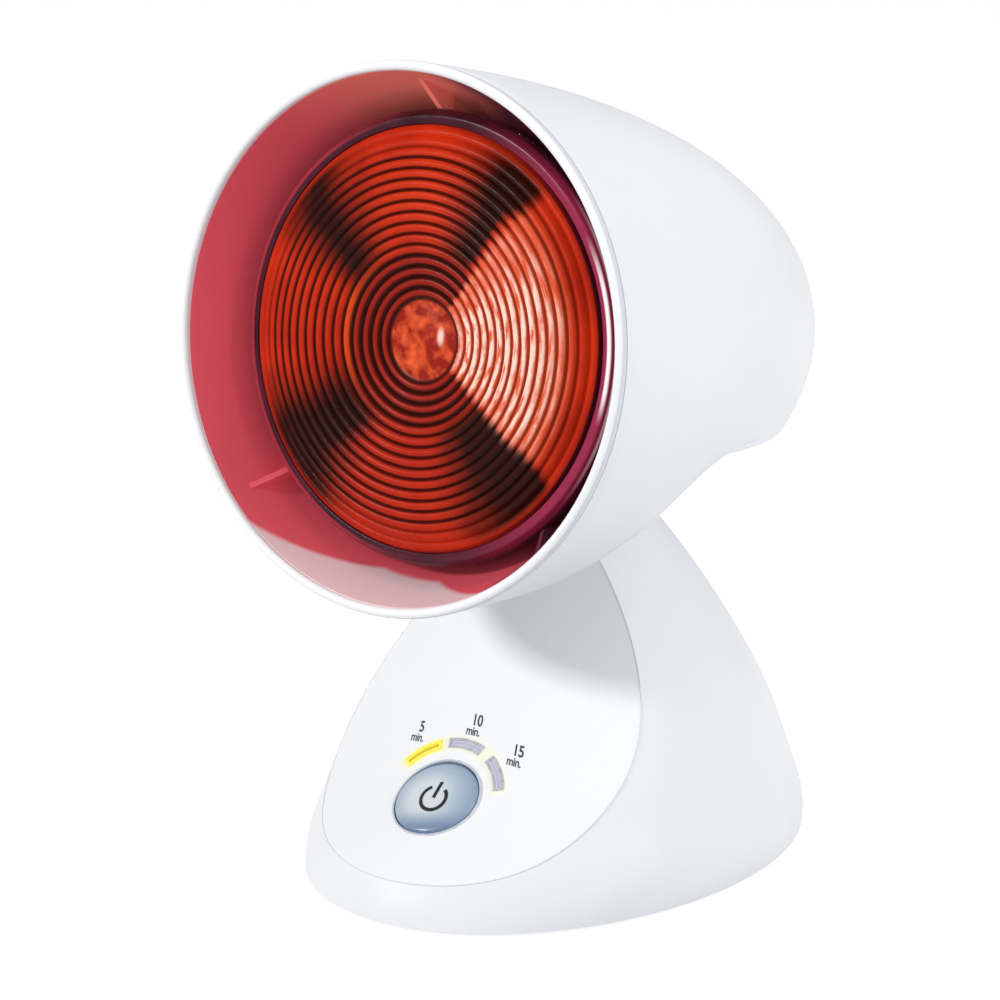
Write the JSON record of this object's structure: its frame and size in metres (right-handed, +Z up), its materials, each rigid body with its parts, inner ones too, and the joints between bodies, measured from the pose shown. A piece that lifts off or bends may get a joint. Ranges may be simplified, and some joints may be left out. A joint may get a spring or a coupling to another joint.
{
  "type": "infrared heat therapy lamp",
  "caption": "Table-top infrared heat lamp: egg-shaped tilting shade with a ribbed ruby bulb on a domed base with an inclined panel, oval start button and timer lights.",
  "frame": {"origin": "on the table, under the middle of the base's foot outline", "axes": "+Z up, -Y towards the user (the mouth of the shade), +X to the user's right"},
  "size_m": [0.1458, 0.1939, 0.2318],
  "materials": {
    "shade_white": "white moulded plastic, semi-gloss",
    "base_white": "white moulded plastic, semi-gloss",
    "panel_white": "white high-gloss panel",
    "cover_white": "white moulded plastic, satin",
    "liner_enamel": "white enamelled sheet, lit red by the bulb",
    "ruby_glass": "ruby pressed glass with ring ribs",
    "mirror_glass": "ruby glass, silvered inside",
    "brass_metal": "bright brass",
    "filament_wire": "drawn tungsten wire",
    "white_ceramic": "glazed porcelain",
    "bright_steel": "zinc-plated steel",
    "neck_plastic": "light grey moulded plastic, satin",
    "button_pearl": "pearl blue-grey, gloss",
    "trim_silver": "satin chrome trim",
    "light_amber": "clear tinted lens, lit amber",
    "light_clear": "clear lens, unlit",
    "diode_resin": "clear resin",
    "board_green": "solder-masked laminate",
    "black_plastic": "black moulded plastic",
    "relay_case": "blue moulded case",
    "core_steel": "lacquered laminated steel",
    "underside_grey": "grey moulded plastic",
    "foot_rubber": "soft rubber"
  },
  "bodies": {
    "base": {"base_shell": "base_white", "control_panel": "panel_white", "axle_caps": "base_white", "tilt_axle": "bright_steel", "friction_washers": "bright_steel", "button_ring": "trim_silver", "light_frames": "trim_silver", "light_lens_5": "light_amber", "light_lens_10": "light_clear", "light_lens_15": "light_clear", "light_diodes": "diode_resin", "circuit_board": "board_green", "board_posts": "base_white", "switch_body": "black_plastic", "relay": "relay_case", "transformer": "core_steel", "terminal_block": "black_plastic", "cord_gland": "black_plastic", "bottom_plate": "underside_grey", "ballast": "core_steel", "rubber_feet": "foot_rubber", "bottom_screws": "bright_steel"},
    "head": {"shade_shell": "shade_white", "underside_cover": "cover_white", "mouth_rim": "shade_white", "heat_liner": "liner_enamel", "centring_fins": "liner_enamel", "bulb_lens": "ruby_glass", "bulb_reflector": "mirror_glass", "bulb_cap": "brass_metal", "bulb_contact": "brass_metal", "bulb_filament": "filament_wire", "lamp_socket": "white_ceramic", "socket_shell": "brass_metal", "socket_contact": "brass_metal", "socket_bracket": "bright_steel", "socket_screws": "bright_steel", "tilt_neck": "neck_plastic"},
    "button": {"start_button": "button_pearl", "switch_plunger": "black_plastic"}
  },
  "joints": [
    {"name": "head_tilt", "type": "hinge", "parent": "base", "child": "head", "pos_m": [0, 0.012, 0.1], "axis": [-1, 0, 0], "range_deg": [-10, 30]},
    {"name": "button_press", "type": "slide", "parent": "base", "child": "button", "axis": [0, 0.6358, -0.7718], "range_m": [0, 0.0012], "stiffness_N_per_m": 400, "springref_m": -0.002}
  ]
}
